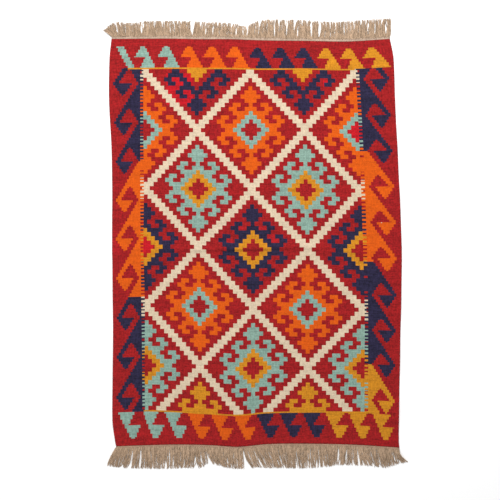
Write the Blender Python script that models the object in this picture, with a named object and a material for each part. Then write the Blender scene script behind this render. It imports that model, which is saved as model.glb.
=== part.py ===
"""A flat-woven wool kilim lying on a floor, about 1.1 m wide and 1.6 m long with its fringes.

Metres, +Z up. +Y runs along the warps to the top end of the rug, and +X across them. The floor is
z = 0, and the origin is on the floor under the middle of the whole rug.

Three pieces: the cloth, and at each end a fringe, which is a narrow web woven of undyed warp yarn
with the warp ends hanging out of it in loose locks. Tables are in millimetres, from the middle of
the loom width and of the loom length.
"""

import math
from collections import namedtuple

import bmesh
import bpy

MM = 0.001

# The cloth. Its selvedge is a corded edge: the outer warps are bundled, so it stands a little proud.
CLOTH_THICKNESS = 3.0
SELVEDGE_PROUD = 1.2
SELVEDGE_ROUNDING = 0.55
WARPS = 291

# The two side edges, at stations along the rug. The rug is wider at the middle of its right side.
Side = namedtuple("Side", "along left right")
SIDES = [
    Side(-702, -482, 538),
    Side(-684, -486, 536),
    Side(-612, -495, 536),
    Side(-324, -493, 541),
    Side(0, -496, 546),
    Side(324, -497, 533),
    Side(540, -507, 522),
    Side(684, -506, 517),
    Side(756, -499, 504),
]

# The two woven ends, at stations across the rug (0 is the left selvedge and 1 the right one).
End = namedtuple("End", "across top bottom")
ENDS = [
    End(0.0, 759, -706),
    End(0.2, 760, -700),
    End(0.33, 758, -702),
    End(0.43, 758, -708),
    End(0.54, 754, -698),
    End(0.7, 752, -697),
    End(0.85, 750, -701),
    End(1.0, 759, -711),
]

# Points across the cloth's edge, from the outer side of the selvedge inwards.
Edge = namedtuple("Edge", "inset thickness")
EDGES = [
    Edge(0, CLOTH_THICKNESS * SELVEDGE_ROUNDING),
    Edge(1.5, CLOTH_THICKNESS * SELVEDGE_PROUD),
    Edge(6, CLOTH_THICKNESS * SELVEDGE_PROUD),
    Edge(9, CLOTH_THICKNESS),
    Edge(45, CLOTH_THICKNESS),
    Edge(90, CLOTH_THICKNESS),
    Edge(140, CLOTH_THICKNESS),
]
INNER_COLUMNS = 7
EVEN_ROWS = 32

# The soft ridge left across the middle where the rug was folded for storage.
CREASE_ALONG = 0
CREASE_HALF_WIDTH = 45
CREASE_HEIGHT = 5.0
CREASE_WANDER = 5
CREASE_WANDER_LENGTH = 1200
CREASE_CENTRE = 10
CREASE_SPREAD = 240
CREASE_SHARE_AT_SIDES = 0.4
CREASE_ROWS = (-45, -27, -12, 0, 12, 27, 45)
CLEAR_OF_EVEN_ROWS = 58

# The low ripples along the two side edges.
Ripple = namedtuple("Ripple", "length shift height")
LEFT_RIPPLE = Ripple(230, 40, 2.2)
RIGHT_RIPPLE = Ripple(190, 110, 2.6)
RIPPLE_REACH = 140
RIPPLE_END_FADE = 90

# How each fringe falls, at stations across the cloth (0 is the left selvedge and 1 the right one): how
# far to the right its tips lean, and how far out they lie from the woven end.
Fall = namedtuple("Fall", "across lean reach")
TOP_FALL = [
    Fall(0.0, -30, 34),
    Fall(0.025, -16, 62),
    Fall(0.06, -6, 60),
    Fall(0.09, -12, 61),
    Fall(0.12, -2, 66),
    Fall(0.3, -1, 66),
    Fall(0.36, 6, 63),
    Fall(0.43, 4, 60),
    Fall(0.475, 4, 51),
    Fall(0.53, 2, 75),
    Fall(0.68, -1, 77),
    Fall(0.72, 5, 75),
    Fall(0.8, -1, 73),
    Fall(0.88, -3, 77),
    Fall(0.92, 4, 78),
    Fall(1.0, 0, 76),
]
BOTTOM_FALL = [
    Fall(0.0, -33, 60),
    Fall(0.02, -14, 77),
    Fall(0.1, 0, 85),
    Fall(0.2, 0, 88),
    Fall(0.27, -2, 85),
    Fall(0.3, 6, 85),
    Fall(0.325, 22, 70),
    Fall(0.36, 22, 77),
    Fall(0.455, 5, 81),
    Fall(0.475, 27, 78),
    Fall(0.53, 29, 86),
    Fall(0.63, 5, 90),
    Fall(0.68, 0, 90),
    Fall(0.74, 6, 83),
    Fall(0.8, 0, 76),
    Fall(0.9, 18, 76),
    Fall(0.94, 8, 77),
    Fall(1.0, 30, 52),
]
# The warp ends hang in locks, which take these numbers of warps in turn right across the rug. A lock
# draws its tips together by this share of their distance from its middle.
Lock = namedtuple("Lock", "first warps")
LOCK_WARPS = (7, 12, 9, 14, 6, 11, 8)
GATHER = 0.25
WARPS_PER_STRAND = 2
TOP_WEB_WIDTH = 16
BOTTOM_WEB_WIDTH = 10
WEB_THICKNESS = 1.8
GAP_TO_CLOTH = 0.3

Strand = namedtuple("Strand", "across lean reach")

# A strand is flat-bottomed and four-sided. Its sections go from its root in the web to its tip.
Section = namedtuple("Section", "along width height")
STRAND_SECTIONS = [
    Section(0.0, 4.2, WEB_THICKNESS),
    Section(0.35, 4.0, 2.4),
    Section(0.7, 3.4, 2.2),
    Section(1.0, 2.1, 1.5),
]
# Of its lean, a strand takes this share for its length near the root, and the whole by its tip.
LEAN_AT_ROOT = 0.6
# A strand is cut short of its fringe's reach by up to this much. The cut follows a sine, and this is the
# angle in radians from one strand to the next.
UNEVEN_CUT = 2.0
UNEVEN_CUT_STEP = 2.4

Finish = namedtuple("Finish", "colour roughness")
DYED_WOOL = Finish((0.435, 0.018, 0.024, 1.0), 0.9)
UNDYED_WARP = Finish((0.485, 0.352, 0.223, 1.0), 0.95)
SHARP_ANGLE = math.radians(40)


def mix(start, stop, share):
    return start + (stop - start) * share


def smooth_at(rows, key, value, at):
    """The value column at a place in the key column, on a smooth curve through the rows."""
    keys = [getattr(row, key) for row in rows]
    values = [getattr(row, value) for row in rows]
    last = len(rows) - 1
    i = 0
    while i < last - 1 and at > keys[i + 1]:
        i += 1
    span = keys[i + 1] - keys[i]
    share = min(max((at - keys[i]) / span, 0.0), 1.0)

    def slope(j):
        before, after = max(j - 1, 0), min(j + 1, last)
        return (values[after] - values[before]) / (keys[after] - keys[before])

    square, cube = share**2, share**3
    return (
        (2 * cube - 3 * square + 1) * values[i]
        + (cube - 2 * square + share) * span * slope(i)
        + (3 * square - 2 * cube) * values[i + 1]
        + (cube - square) * span * slope(i + 1)
    )


def hump(distance, reach):
    """1 where the distance is 0, falling softly to exactly 0 at the reach."""
    share = min(abs(distance) / reach, 1.0)
    return math.cos(share * math.pi / 2) ** 2


def cloth_point(across, along):
    """Where a point of the cloth lies in plan: both shares run from 0 to 1."""
    bottom, top = SIDES[0].along, SIDES[-1].along
    station = mix(bottom, top, along)
    left = smooth_at(SIDES, "along", "left", station)
    right = smooth_at(SIDES, "along", "right", station)
    low = smooth_at(ENDS, "across", "bottom", across)
    high = smooth_at(ENDS, "across", "top", across)
    return mix(left, right, across), mix(low, high, along)


def lift(x, y):
    """How high the underside of the cloth lies over the floor."""
    wander = CREASE_WANDER * math.sin(2 * math.pi * x / CREASE_WANDER_LENGTH)
    near_middle = math.exp(-(((x - CREASE_CENTRE) / CREASE_SPREAD) ** 2))
    share = mix(CREASE_SHARE_AT_SIDES, 1.0, near_middle)
    crease = CREASE_HEIGHT * share * hump(y - CREASE_ALONG - wander, CREASE_HALF_WIDTH)

    left = smooth_at(SIDES, "along", "left", y)
    right = smooth_at(SIDES, "along", "right", y)
    from_end = min(y - SIDES[0].along, SIDES[-1].along - y)
    fade = 1.0 - hump(max(from_end, 0.0), RIPPLE_END_FADE)
    ripples = 0.0
    for ripple, inset in ((LEFT_RIPPLE, x - left), (RIGHT_RIPPLE, right - x)):
        wave = 0.5 - 0.5 * math.cos(2 * math.pi * (y + ripple.shift) / ripple.length)
        ripples += ripple.height * wave * fade * hump(inset, RIPPLE_REACH)
    return max(crease, ripples)


def cloth_columns():
    """Places across the cloth, as shares, with the cloth's thickness at each."""
    width = SIDES[0].right - SIDES[0].left
    left = [(edge.inset / width, edge.thickness) for edge in EDGES]
    right = [(1.0 - share, thickness) for share, thickness in reversed(left)]
    start, stop = left[-1][0], right[0][0]
    inner = [
        (mix(start, stop, i / INNER_COLUMNS), CLOTH_THICKNESS) for i in range(1, INNER_COLUMNS)
    ]
    return left + inner + right


def cloth_rows():
    """Places along the cloth, as shares: even steps, and closer ones over the crease."""
    bottom, top = SIDES[0].along, SIDES[-1].along
    even = [mix(bottom, top, i / EVEN_ROWS) for i in range(EVEN_ROWS + 1)]
    rows = [y for y in even if abs(y - CREASE_ALONG) > CLEAR_OF_EVEN_ROWS]
    rows += [CREASE_ALONG + offset for offset in CREASE_ROWS]
    return [(y - bottom) / (top - bottom) for y in sorted(rows)]


def finish_mesh(name, bm, material):
    """Closes a bmesh into an object in the scene, with its faces pointing out."""
    bmesh.ops.recalc_face_normals(bm, faces=bm.faces)
    mesh = bpy.data.meshes.new(name)
    bm.to_mesh(mesh)
    bm.free()
    mesh.shade_smooth()
    mesh.set_sharp_from_angle(angle=SHARP_ANGLE)
    mesh.materials.append(material)
    piece = bpy.data.objects.new(name, mesh)
    bpy.context.collection.objects.link(piece)
    return piece


def add_point(bm, x, y, z):
    return bm.verts.new((x * MM, y * MM, z * MM))


def make_cloth(material):
    """The woven sheet: a top and an underside of the same grid, and a wall round the edge."""
    bm = bmesh.new()
    columns, rows = cloth_columns(), cloth_rows()
    under, over = [], []
    for along in rows:
        under_row, over_row = [], []
        for across, thickness in columns:
            x, y = cloth_point(across, along)
            height = lift(x, y)
            under_row.append(add_point(bm, x, y, height))
            over_row.append(add_point(bm, x, y, height + thickness))
        under.append(under_row)
        over.append(over_row)

    for r in range(len(rows) - 1):
        for c in range(len(columns) - 1):
            for grid in (under, over):
                bm.faces.new((grid[r][c], grid[r][c + 1], grid[r + 1][c + 1], grid[r + 1][c]))

    last_row, last_column = len(rows) - 1, len(columns) - 1
    rim = [(0, c) for c in range(last_column)]
    rim += [(r, last_column) for r in range(last_row)]
    rim += [(last_row, c) for c in range(last_column, 0, -1)]
    rim += [(r, 0) for r in range(last_row, 0, -1)]
    for (r, c), (next_r, next_c) in zip(rim, rim[1:] + rim[:1]):
        bm.faces.new((under[r][c], under[next_r][next_c], over[next_r][next_c], over[r][c]))
    return finish_mesh("kilim_cloth", bm, material)


def locks_across():
    """The locks of warps from the left selvedge to the right one."""
    locks = []
    first = 0
    while first < WARPS:
        warps = min(LOCK_WARPS[len(locks) % len(LOCK_WARPS)], WARPS - first)
        locks.append(Lock(first, warps))
        first += warps
    return locks


def strands_of(falls):
    """The strands of all the locks in order, each with the share across the cloth at its root."""
    warp_pitch = (SIDES[0].right - SIDES[0].left) / WARPS
    strands = []
    for lock in locks_across():
        middle = lock.first + lock.warps / 2
        # The two outermost locks have no neighbour on one side, so they fan out and don't gather.
        outermost = lock.first == 0 or lock.first + lock.warps == WARPS
        count = max(1, lock.warps // WARPS_PER_STRAND)
        for i in range(count):
            centre = lock.first + lock.warps * (i + 0.5) / count
            lean_at = centre if outermost else middle
            draw = 0.0 if outermost else GATHER * (middle - centre) * warp_pitch
            uneven = UNEVEN_CUT * math.sin(UNEVEN_CUT_STEP * len(strands))
            lean = smooth_at(falls, "across", "lean", lean_at / WARPS) + draw
            reach = smooth_at(falls, "across", "reach", centre / WARPS) - abs(uneven)
            strands.append(Strand(centre / WARPS, lean, reach))
    return strands


def strand_rings(root_x, root_y, lean, length, outwards):
    """The corner points of a strand's sections, each as x, y and z: two low ones, then two high."""
    rings = []
    for i, section in enumerate(STRAND_SECTIONS):
        bend = section.along * mix(LEAN_AT_ROOT, 1.0, section.along)
        x = root_x + lean * bend
        y = root_y + outwards * length * section.along
        # The root lies square in the web's edge, and the rest is square to the strand's own run.
        slope = lean / length if i else 0.0
        side = section.width / 2 / math.hypot(1.0, slope)
        skew = -outwards * slope * side
        left, right = (x - side, y - skew), (x + side, y + skew)
        low, high = (0.0,), (section.height,)
        rings.append([left + low, right + low, right + high, left + high])
    return rings


def add_strand(bm, rings):
    """Skins a strand from its root to its closed tip, and returns the open ring at its root."""
    rings = [[add_point(bm, *corner) for corner in ring] for ring in rings]
    for ring, following in zip(rings, rings[1:]):
        for i in range(len(ring)):
            j = (i + 1) % len(ring)
            bm.faces.new((ring[i], ring[j], following[j], following[i]))
    bm.faces.new(rings[-1])
    return rings[0]


def make_fringe(name, falls, outwards, web_width, material):
    """One web with its strands, as a single body. Outwards is 1 at the top end, -1 at the bottom."""
    bm = bmesh.new()

    def web_point(across, from_cloth):
        x, y = cloth_point(across, 1.0 if outwards > 0 else 0.0)
        return x, y + outwards * from_cloth

    def add_pair(x, y):
        return add_point(bm, x, y, 0.0), add_point(bm, x, y, WEB_THICKNESS)

    # Along the cloth the web has a corner wherever the cloth has one, so the gap stays even.
    inner = [add_pair(*web_point(across, GAP_TO_CLOTH)) for across, _ in cloth_columns()]

    # Along its outer edge it has a corner at each side of each strand's root.
    web_reach = GAP_TO_CLOTH + web_width
    outer = [add_pair(*web_point(0.0, web_reach))]
    root_starts = set()
    for strand in strands_of(falls):
        x, y = web_point(strand.across, web_reach)
        rings = strand_rings(x, y, strand.lean, strand.reach - web_reach, outwards)
        low_left, low_right, high_right, high_left = add_strand(bm, rings)
        root_starts.add(len(outer))
        outer += [(low_left, high_left), (low_right, high_right)]
    outer.append(add_pair(*web_point(1.0, web_reach)))

    # The web's flat faces run between each pair of inner corners and the nearest outer ones.
    nearest = [0]
    for low, _ in inner[1:-1]:
        nearest.append(min(range(len(outer)), key=lambda k: abs(outer[k][0].co.x - low.co.x)))
    nearest.append(len(outer) - 1)
    for i in range(len(inner) - 1):
        for level in (0, 1):
            outline = [inner[i][level], inner[i + 1][level]]
            outline += [outer[k][level] for k in range(nearest[i + 1], nearest[i] - 1, -1)]
            bm.faces.new(outline)
        bm.faces.new((inner[i][0], inner[i + 1][0], inner[i + 1][1], inner[i][1]))

    # Its outer wall is closed between the roots, and its two short ends are closed too.
    for k in range(len(outer) - 1):
        if k not in root_starts:
            bm.faces.new((outer[k][0], outer[k + 1][0], outer[k + 1][1], outer[k][1]))
    for k in (0, -1):
        bm.faces.new((inner[k][0], outer[k][0], outer[k][1], inner[k][1]))
    bmesh.ops.triangulate(bm, faces=[face for face in bm.faces if len(face.verts) > 4])
    return finish_mesh(name, bm, material)


def make_material(name, finish):
    material = bpy.data.materials.new(name)
    material.use_nodes = True
    shader = material.node_tree.nodes["Principled BSDF"]
    shader.inputs["Base Color"].default_value = finish.colour
    shader.inputs["Roughness"].default_value = finish.roughness
    shader.inputs["Metallic"].default_value = 0.0
    return material


def centre_on_floor(pieces):
    """Moves the pieces so that the middle of their common box is over the origin."""
    points = [vertex.co for piece in pieces for vertex in piece.data.vertices]
    middle_x = (min(p.x for p in points) + max(p.x for p in points)) / 2
    middle_y = (min(p.y for p in points) + max(p.y for p in points)) / 2
    for piece in pieces:
        piece.location = (-middle_x, -middle_y, 0.0)


def main():
    for old in list(bpy.data.objects):
        bpy.data.objects.remove(old, do_unlink=True)
    wool = make_material("dyed_wool", DYED_WOOL)
    warp = make_material("undyed_warp", UNDYED_WARP)
    pieces = [
        make_cloth(wool),
        make_fringe("top_fringe", TOP_FALL, 1, TOP_WEB_WIDTH, warp),
        make_fringe("bottom_fringe", BOTTOM_FALL, -1, BOTTOM_WEB_WIDTH, warp),
    ]
    centre_on_floor(pieces)


main()
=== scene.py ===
# %% [markdown]
# # Dressing a kilim rug
#
# A kilim is a flat-woven wool rug. Wool weft goes over and under undyed warp yarns and is beaten down
# until it hides them, so the only thing to see is a field of small coloured ribs, one rib for each warp.
# The imported model of this rug is a plain thin slab with a row of flat strands at each end. It gives the
# rug's true size and place. This lesson lays real weaving and real warp ends where the slab is.
#
# The first cell loads the imported model and keeps its pieces by name.

# %% Load the imported rug
import math
from collections import namedtuple

import bpy
import numpy as np
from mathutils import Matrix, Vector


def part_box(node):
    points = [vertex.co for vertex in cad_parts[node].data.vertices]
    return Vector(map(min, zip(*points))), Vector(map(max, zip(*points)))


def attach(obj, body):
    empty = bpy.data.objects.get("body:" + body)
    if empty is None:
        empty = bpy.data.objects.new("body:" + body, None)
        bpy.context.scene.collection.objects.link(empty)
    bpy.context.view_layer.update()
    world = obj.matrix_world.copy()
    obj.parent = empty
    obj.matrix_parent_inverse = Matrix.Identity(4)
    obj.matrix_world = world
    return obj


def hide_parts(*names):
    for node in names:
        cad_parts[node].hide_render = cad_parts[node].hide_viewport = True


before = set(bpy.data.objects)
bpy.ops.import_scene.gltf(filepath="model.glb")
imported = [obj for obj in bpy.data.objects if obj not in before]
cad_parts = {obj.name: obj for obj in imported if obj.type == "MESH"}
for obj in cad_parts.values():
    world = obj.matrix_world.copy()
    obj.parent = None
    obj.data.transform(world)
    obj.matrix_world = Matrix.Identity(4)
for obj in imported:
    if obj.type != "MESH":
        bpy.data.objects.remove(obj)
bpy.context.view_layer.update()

print("pieces in it:", sorted(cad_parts))

# %% [markdown]
# ## The camera
#
# The photograph looks straight down on a rug that lies on a white floor. An orthographic camera would
# show no perspective at all, but a photograph is taken through a lens. So this is a camera far above
# with a long lens, which keeps the rug's edges nearly straight. It is made before the rug, so that every
# later step can be looked at through it.

# %% Hang the camera over the rug
MM = 0.001
VIEW_WIDTH = 1.8
LENS = 85.0
SENSOR = 36.0
CAMERA_HEIGHT = VIEW_WIDTH * LENS / SENSOR

camera_data = bpy.data.cameras.new("camera_above_rug")
camera_data.type = "PERSP"
camera_data.lens = LENS
camera_data.sensor_width = SENSOR
camera_data.sensor_fit = "HORIZONTAL"
camera = bpy.data.objects.new("camera_above_rug", camera_data)
bpy.context.scene.collection.objects.link(camera)
bpy.context.scene.camera = camera
print("camera height:", round(CAMERA_HEIGHT, 3), "m")

# %% [markdown]
# ## The loom
#
# On the loom every place in the cloth has two numbers: which warp it is on, counted from the left, and
# how far along the warps it is. Real warps aren't evenly spaced: they drift as the weaver works, and this
# rug's right border is wider than its left one. So the pattern is drawn in loom numbers, and a few short
# tables say where the warps really lie, in millimetres from the middle of the loom. The first two hold
# the outline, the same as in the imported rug.

# %% The outline of the cloth
Side = namedtuple("Side", "along left right")
SIDES = [
    Side(-702, -482, 538),
    Side(-684, -486, 536),
    Side(-612, -495, 536),
    Side(-324, -493, 541),
    Side(0, -496, 546),
    Side(324, -497, 533),
    Side(540, -507, 522),
    Side(684, -506, 517),
    Side(756, -499, 504),
]
LOOM_START = SIDES[0].along
LOOM_END = SIDES[-1].along
End = namedtuple("End", "across top bottom")
ENDS = [
    End(0.0, 759, -706),
    End(0.2, 760, -700),
    End(0.33, 758, -702),
    End(0.43, 758, -708),
    End(0.54, 754, -698),
    End(0.7, 752, -697),
    End(0.85, 750, -701),
    End(1.0, 759, -711),
]
print("length on the loom:", LOOM_END - LOOM_START, "mm")

# %% [markdown]
# Inside the outline the corners of the diamonds show how the warps drift. Seven lines are enough: the two
# edges of the field, and the five warps on which the diamonds have their points. Between two lines the
# warps are even. The diamonds' steps are four warps wide, which gives 54 warps from point to point.

# %% How the warps lie
Line = namedtuple(
    "Line", "along left_field far_left left_node centre right_node far_right right_field"
)
LINES = [
    Line(-702, -387, -372, -179, 11, 208, 404, 425),
    Line(-427, -388, -374, -180, 11, 208, 406, 425),
    Line(-209, -391, -372, -182, 11, 206, 406, 425),
    Line(0, -394, -378, -187, 11, 208, 400, 421),
    Line(216, -395, -375, -186, 6, 201, 393, 414),
    Line(430, -395, -378, -191, 4, 197, 385, 405),
    Line(650, -395, -378, -192, 0, 189, 374, 392),
    Line(756, -395, -378, -193, -2, 187, 370, 387),
]
WARPS = 291
HALF_REPEAT = 54
CENTRE_WARP = 144
LEFT_FIELD_WARP = 30
RIGHT_FIELD_WARP = 258
NODE_WARPS = [CENTRE_WARP + i * HALF_REPEAT for i in (-2, -1, 0, 1, 2)]
LINE_WARPS = [0, LEFT_FIELD_WARP, *NODE_WARPS, RIGHT_FIELD_WARP, WARPS]
print("mean distance between warps:", round((SIDES[4].right - SIDES[4].left) / WARPS, 2), "mm")

# %% [markdown]
# The weft rows aren't quite level either. They lie a little high on the left and low on the right in the
# lower half, because the weaver beat them down harder there.

# %% How the weft rows lie
Sag = namedtuple("Sag", "along far_left left_node centre right_node far_right")
SAGS = [
    Sag(-702, 0, 0, 0, 0, 0),
    Sag(-585, 7, -3, -4, -2, 2),
    Sag(-427, 11, 6, 2, -2, 2),
    Sag(-209, 9, 5, 1, -8, -4),
    Sag(0, 9, 9, 1, 1, -1),
    Sag(216, 4, 2, 3, 0, 1),
    Sag(430, -1, -1, 3, 5, -1),
    Sag(650, -3, -1, -1, 2, 2),
    Sag(756, 0, 0, 0, 0, 0),
]
SAG_WARPS = [0, *NODE_WARPS, WARPS]
print("steepest weft row:", max(max(sag[1:]) - min(sag[1:]) for sag in SAGS), "mm from side to side")

# %% [markdown]
# Now loom numbers can be turned into places on the floor. A lattice could bend a straight pattern in the
# same way, but nothing could then be looked up in it while the pattern is drawn. So two functions read
# the tables: along the warps on smooth curves, and across them on straight stretches.


# %% Read between the rows of a table
def mix(start, stop, share):
    return start + (stop - start) * share


def smooth_at(rows, key, value, at):
    """The value column at places in the key column, on a smooth curve through the rows."""
    keys = np.array([getattr(row, key) for row in rows], float)
    values = np.array([getattr(row, value) for row in rows], float)
    slopes = np.empty(len(rows))
    slopes[1:-1] = (values[2:] - values[:-2]) / (keys[2:] - keys[:-2])
    slopes[0] = (values[1] - values[0]) / (keys[1] - keys[0])
    slopes[-1] = (values[-1] - values[-2]) / (keys[-1] - keys[-2])
    i = np.clip(np.searchsorted(keys, at, side="left") - 1, 0, len(rows) - 2)
    span = keys[i + 1] - keys[i]
    share = np.clip((at - keys[i]) / span, 0.0, 1.0)
    square, cube = share**2, share**3
    return (
        (2 * cube - 3 * square + 1) * values[i]
        + (cube - 2 * square + share) * span * slopes[i]
        + (3 * square - 2 * cube) * values[i + 1]
        + (cube - square) * span * slopes[i + 1]
    )


def between_lines(warp, stops, columns):
    """Values at warps, on straight stretches between the columns that stand at the stops."""
    result = np.zeros(warp.shape)
    for i in range(len(stops) - 1):
        here = (warp >= stops[i]) & (warp <= stops[i + 1])
        share = (warp - stops[i]) / (stops[i + 1] - stops[i])
        result = np.where(here, mix(columns[i], columns[i + 1], share), result)
    return result


print("left edge at the crease:", float(smooth_at(SIDES, "along", "left", 0)), "mm")


# %% Find places in the cloth
def cloth_place(warp, along):
    """Where a warp lies in plan, in millimetres, at places along the loom."""
    warp, along = np.broadcast_arrays(np.asarray(warp, float), np.asarray(along, float))
    left = smooth_at(SIDES, "along", "left", along)
    right = smooth_at(SIDES, "along", "right", along)
    inner = [smooth_at(LINES, "along", column, along) for column in Line._fields[1:]]
    x = between_lines(warp, LINE_WARPS, [left, *inner, right])
    across = (x - left) / (right - left)
    low = smooth_at(ENDS, "across", "bottom", across)
    high = smooth_at(ENDS, "across", "top", across)
    y = mix(low, high, (along - LOOM_START) / (LOOM_END - LOOM_START))
    sags = [smooth_at(SAGS, "along", column, along) for column in Sag._fields[1:]]
    return x, y + between_lines(warp, SAG_WARPS, [sags[0], *sags, sags[-1]])


def warp_at(x, along):
    """The warp that passes a place across the rug, in millimetres, at a level along the loom."""
    warps = np.arange(WARPS + 1)
    return float(np.interp(x, cloth_place(warps, along)[0], warps))


print("the middle warp at the crease:", [round(float(value)) for value in cloth_place(CENTRE_WARP, 0)], "mm")

# %% Find the middle of the loom
SAMPLE_COLUMNS = 60
SAMPLE_ROWS = 400
# A coarse grid over the whole cloth, to measure it with.
sample_warps, sample_levels = np.meshgrid(
    np.linspace(0, WARPS, SAMPLE_COLUMNS), np.linspace(LOOM_START, LOOM_END, SAMPLE_ROWS)
)
sample_x, sample_y = cloth_place(sample_warps, sample_levels)
cloth_low, cloth_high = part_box("kilim_cloth")
LOOM_X = (cloth_low.x + cloth_high.x) / 2 - MM * (sample_x.min() + sample_x.max()) / 2
LOOM_Y = (cloth_low.y + cloth_high.y) / 2 - MM * (sample_y.min() + sample_y.max()) / 2
# The camera can now be hung right over it.
camera.location = (LOOM_X, LOOM_Y, CAMERA_HEIGHT)
print("middle of the loom:", round(LOOM_X, 5), round(LOOM_Y, 5), "m")

# %% [markdown]
# The rug has been folded for storage, so a soft ridge runs across its middle, and its side edges
# ripple a little. Both are lifts of the whole cloth off the floor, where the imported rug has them. The
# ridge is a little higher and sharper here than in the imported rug: its lower side drops steeply, most of
# all near the middle, so that it shows as a soft dark line. A cloth simulation could fold the rug too,
# but it is hard to make it crease in one chosen place, and a formula does just that.

# %% How high the cloth lies
CLOTH_THICKNESS = 3.0
CREASE_HALF_WIDTH = 45
CREASE_HEIGHT = 7.5
CREASE_WANDER = 5
CREASE_WANDER_LENGTH = 1200
CREASE_CENTRE = 10
CREASE_SPREAD = 240
CREASE_SHARE_AT_SIDES = 0.4
# The steep drop at the ridge's lower side: how much of its height, how short, and where it is sharp.
DROP_SHARE = 0.8
DROP_START = 6
DROP_LENGTH = 13
DROP_CENTRE = -40
DROP_SPREAD = 290
Ripple = namedtuple("Ripple", "length shift height")
LEFT_RIPPLE = Ripple(230, 40, 2.2)
RIGHT_RIPPLE = Ripple(190, 110, 2.6)
RIPPLE_REACH = 140
RIPPLE_END_FADE = 90


def hump(distance, reach):
    """1 where the distance is 0, falling softly to 0 at the reach."""
    return np.cos(np.minimum(np.abs(distance) / reach, 1.0) * math.pi / 2) ** 2


def lift(x, y):
    """How high the underside of the cloth lies over the floor, in millimetres."""
    wander = CREASE_WANDER * np.sin(2 * math.pi * x / CREASE_WANDER_LENGTH)
    near_middle = np.exp(-(((x - CREASE_CENTRE) / CREASE_SPREAD) ** 2))
    share = mix(CREASE_SHARE_AT_SIDES, 1.0, near_middle)
    ridge = hump(y - wander, CREASE_HALF_WIDTH)
    below = np.minimum(y - wander - DROP_START, 0.0)
    sharp = DROP_SHARE * np.exp(-(((x - DROP_CENTRE) / DROP_SPREAD) ** 2))
    ridge = mix(ridge, ridge * hump(below, DROP_LENGTH), sharp)
    crease = CREASE_HEIGHT * share * ridge
    from_left = x - smooth_at(SIDES, "along", "left", y)
    from_right = smooth_at(SIDES, "along", "right", y) - x
    from_end = np.minimum(y - LOOM_START, LOOM_END - y)
    fade = 1.0 - hump(np.maximum(from_end, 0.0), RIPPLE_END_FADE)
    ripples = 0.0
    for ripple, inset in ((LEFT_RIPPLE, from_left), (RIGHT_RIPPLE, from_right)):
        wave = 0.5 - 0.5 * np.cos(2 * math.pi * (y + ripple.shift) / ripple.length)
        ripples = ripples + ripple.height * wave * fade * hump(inset, RIPPLE_REACH)
    return np.maximum(crease, ripples)


print("highest lift:", round(float(lift(sample_x, sample_y).max()), 2), "mm")

# %% [markdown]
# ## The yarns
#
# Kilim wool is dyed in the hank, and every hank takes the dye a little differently. The weaver used
# eight yarns here, three of them reds from different dye baths. The deep dyes are the more uneven ones.
# Each yarn gets a number, and the pattern functions below answer with those numbers.

# %% Name the yarns
Yarn = namedtuple("Yarn", "name red green blue uneven")
YARNS = [
    Yarn("red", 0.283, 0.0086, 0.0099, 0.4),
    Yarn("bright_red", 0.435, 0.006, 0.0125, 0.3),
    Yarn("middle_red", 0.335, 0.0085, 0.012, 0.35),
    Yarn("orange", 0.597, 0.086, 0.003, 0.2),
    Yarn("navy", 0.0186, 0.0152, 0.0418, 0.45),
    Yarn("teal", 0.209, 0.323, 0.268, 0.25),
    Yarn("gold", 0.518, 0.203, 0.0106, 0.25),
    Yarn("cream", 0.586, 0.471, 0.335, 0.16),
]
YARN_NUMBER = {yarn.name: i for i, yarn in enumerate(YARNS)}
RED = YARN_NUMBER["red"]
print("yarns:", YARN_NUMBER)

# %% [markdown]
# ## The diamonds of the field
#
# The field is stepped diamonds in a brick pattern. In slit tapestry a slanting edge is made of steps,
# here four warps wide and a fixed number of weft rows high, because a long upright join between two
# colours would leave a long slit in the cloth. One quarter of a medallion is charted below: a line of
# the chart is one step up from the medallion's middle, and a letter is one step to the side.

# %% Chart one medallion
STEP_WARPS = 4
STEP_REACH = 12
CHART = [
    "cccrrbb",
    "ccrrbbbb",
    "crrbb..bb",
    "rrbb..bb",
    "rbbbb",
    "bb..bb",
    "b..bb",
    "bb",
    "bbb",
    "bb",
    "b",
]
Medallion = namedtuple("Medallion", "row warp body ring centre")
MEDALLIONS = [
    Medallion(42, HALF_REPEAT, "navy", "red", "gold"),
    Medallion(28, 0, "orange", "teal", "red"),
    Medallion(14, HALF_REPEAT, "teal", "gold", "red"),
    Medallion(0, 0, "navy", "gold", "red"),
    Medallion(-14, HALF_REPEAT, "orange", "teal", "red"),
    Medallion(-28, 0, "teal", "gold", "red"),
    Medallion(-42, HALF_REPEAT, "gold", "gold", "red"),
]
Pace = namedtuple("Pace", "row along")
PACES = [
    Pace(-38.5, -583),
    Pace(-28, -427),
    Pace(-14, -209),
    Pace(0, 0),
    Pace(14, 216),
    Pace(28, 430),
    Pace(42.5, 650),
]
FIRST_ROW = -38
LAST_ROW = 42
FIELD_BOTTOM = PACES[0].along
FIELD_TOP = PACES[-1].along
print("steps in the chart:", sum(len(marks) for marks in CHART))


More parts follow.
